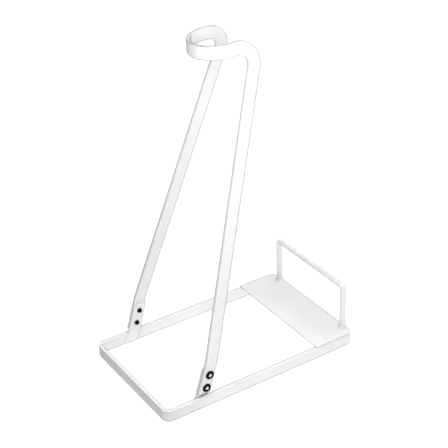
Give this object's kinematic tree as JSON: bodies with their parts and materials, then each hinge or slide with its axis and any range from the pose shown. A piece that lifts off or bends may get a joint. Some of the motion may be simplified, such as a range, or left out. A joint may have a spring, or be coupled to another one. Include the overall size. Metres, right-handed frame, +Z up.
{
  "type": "headphone stand",
  "caption": "Free-standing stand of white flat bar: rectangular base ring with a tray and rod guard at one end, and a leaning two-legged upright bent into a closed hoop at the top.",
  "frame": {"origin": "middle of the base ring on the table plane", "axes": "+X along the base towards the tray and guard, +Y across the base to the left side, +Z up; the closed end of the hoop points to -X"},
  "size_m": [0.182, 0.1162, 0.2768],
  "materials": {
    "white_powder_coat": "satin white powder coat over mild steel, faint orange peel",
    "black_oxide_steel": "black oxide steel, satin"
  },
  "bodies": {
    "root": {"base_frame": "white_powder_coat", "tray_plate": "white_powder_coat", "guard_rail": "white_powder_coat", "weld_post_right": "white_powder_coat", "weld_post_left": "white_powder_coat", "upright_hoop": "white_powder_coat", "lug_right": "white_powder_coat", "lug_left": "white_powder_coat", "weld_lug_right_rear": "white_powder_coat", "weld_lug_right_front": "white_powder_coat", "weld_lug_left_rear": "white_powder_coat", "weld_lug_left_front": "white_powder_coat", "screw_right_upper": "black_oxide_steel", "screw_right_lower": "black_oxide_steel", "screw_left_upper": "black_oxide_steel", "screw_left_lower": "black_oxide_steel"}
  },
  "joints": []
}
